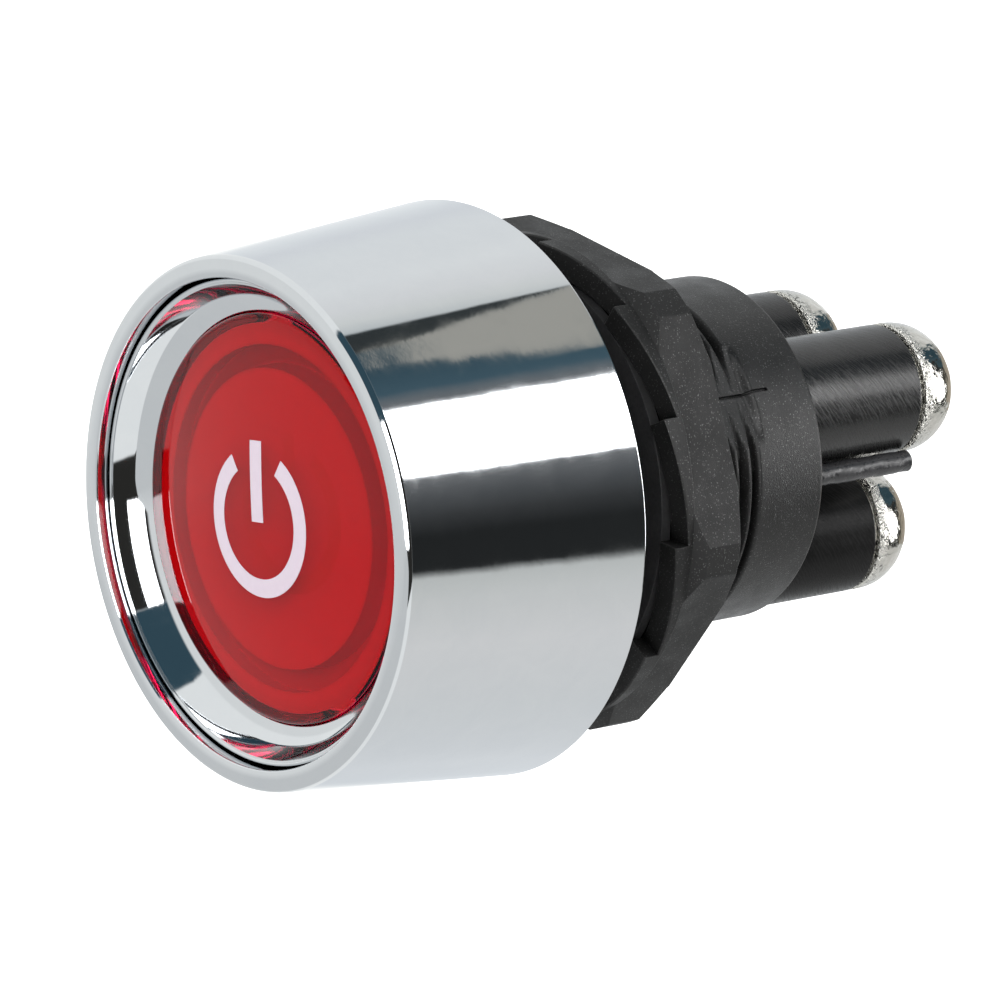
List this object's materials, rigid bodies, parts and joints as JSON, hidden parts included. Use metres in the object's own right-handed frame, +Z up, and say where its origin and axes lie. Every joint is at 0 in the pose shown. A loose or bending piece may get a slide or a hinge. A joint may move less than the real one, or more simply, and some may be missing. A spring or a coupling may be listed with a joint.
{
  "type": "panel push button",
  "caption": "Round illuminated momentary push button: chrome bezel, red domed lens, threaded barrel, toothed mounting nut and screw terminal posts.",
  "frame": {"origin": "on the button's axis, in the plane where the bezel seats on the panel", "axes": "+Y runs back along the barrel towards the terminals, the lens faces -Y, +Z is up when the legend is upright"},
  "size_m": [0.036, 0.0514, 0.036],
  "materials": {
    "chrome": "polished chrome plate",
    "gasket_rubber": "matt black rubber",
    "black_moulding": "fine spark-eroded black moulding",
    "circuit_board": "green solder mask",
    "led_white": "chip LED with a pale lens",
    "chip_black": "ceramic chip resistor",
    "lead_insulation": "black sleeved lead",
    "brass": "turned brass",
    "contact_silver": "silver alloy contact",
    "post_black": "black, half gloss, with fine slanting turning marks",
    "spring_steel": "bright spring wire",
    "red_lens": "clear red acrylic with a white printed mark",
    "diffuser_white": "milky diffuser",
    "natural_nylon": "natural nylon",
    "copper": "copper strip",
    "black_steel": "black finish",
    "nut_black": "fine grained black moulding",
    "nickel": "nickel plate over a cast surface"
  },
  "bodies": {
    "housing_body": {"bezel": "chrome", "panel_gasket": "gasket_rubber", "housing": "black_moulding", "terminal_base": "black_moulding", "led_board": "circuit_board", "led_chips": "led_white", "board_resistors": "chip_black", "lamp_lead": "lead_insulation", "lamp_feed": "brass", "contact_stud_a": "brass", "contact_stud_b": "brass", "lamp_stud": "brass", "fixed_contacts": "contact_silver", "post_a": "post_black", "post_b": "post_black", "post_c": "post_black", "return_spring": "spring_steel"},
    "button": {"collar": "chrome", "lens": "red_lens", "diffuser": "diffuser_white", "carrier": "natural_nylon", "contact_bridge": "copper", "bridge_contacts": "contact_silver", "contact_spring": "spring_steel", "bridge_clip": "spring_steel"},
    "nut_washer": {"lock_washer": "black_steel"},
    "nut": {"mounting_nut": "nut_black"},
    "washer_a": {"clamp_washer_a": "nickel"},
    "screw_a": {"terminal_screw_a": "nickel"},
    "washer_b": {"clamp_washer_b": "nickel"},
    "screw_b": {"terminal_screw_b": "nickel"},
    "washer_c": {"clamp_washer_c": "nickel"},
    "screw_c": {"terminal_screw_c": "nickel"}
  },
  "joints": [
    {"name": "button_press", "type": "slide", "parent": "housing_body", "child": "button", "axis": [0, 1, 0], "range_m": [0, 0.0025], "stiffness_N_per_m": 900, "springref_m": -0.004, "deforming": ["return_spring"]},
    {"name": "nut_travel", "type": "slide", "parent": "housing_body", "child": "nut_washer", "axis": [0, 1, 0], "range_m": [-0.0036, 0.005]},
    {"name": "nut_turn", "type": "hinge", "parent": "nut_washer", "child": "nut", "pos_m": [0, 0.0072, 0], "axis": [0, 1, 0], "range_deg": [-1296.5, 1800.5]},
    {"name": "screw_a_travel", "type": "slide", "parent": "housing_body", "child": "washer_a", "axis": [0, 1, 0], "range_m": [0, 0.004]},
    {"name": "screw_a_turn", "type": "hinge", "parent": "washer_a", "child": "screw_a", "pos_m": [0.0053, 0.0315, 0.00286], "axis": [0, 1, 0], "range_deg": [0, 2057.6]},
    {"name": "screw_b_travel", "type": "slide", "parent": "housing_body", "child": "washer_b", "axis": [0, 1, 0], "range_m": [0, 0.004]},
    {"name": "screw_b_turn", "type": "hinge", "parent": "washer_b", "child": "screw_b", "pos_m": [-0.00519, 0.0315, 0.00425], "axis": [0, 1, 0], "range_deg": [0, 2057.6]},
    {"name": "screw_c_travel", "type": "slide", "parent": "housing_body", "child": "washer_c", "axis": [0, 1, 0], "range_m": [0, 0.004]},
    {"name": "screw_c_turn", "type": "hinge", "parent": "washer_c", "child": "screw_c", "pos_m": [0.00025, 0.0315, -0.00647], "axis": [0, 1, 0], "range_deg": [0, 2057.6]}
  ],
  "couplings": [
    {"joint": "nut_turn", "follows": "nut_travel", "rad_per_m": 6283.2},
    {"joint": "screw_a_turn", "follows": "screw_a_travel", "rad_per_m": 8976},
    {"joint": "screw_b_turn", "follows": "screw_b_travel", "rad_per_m": 8976},
    {"joint": "screw_c_turn", "follows": "screw_c_travel", "rad_per_m": 8976}
  ]
}
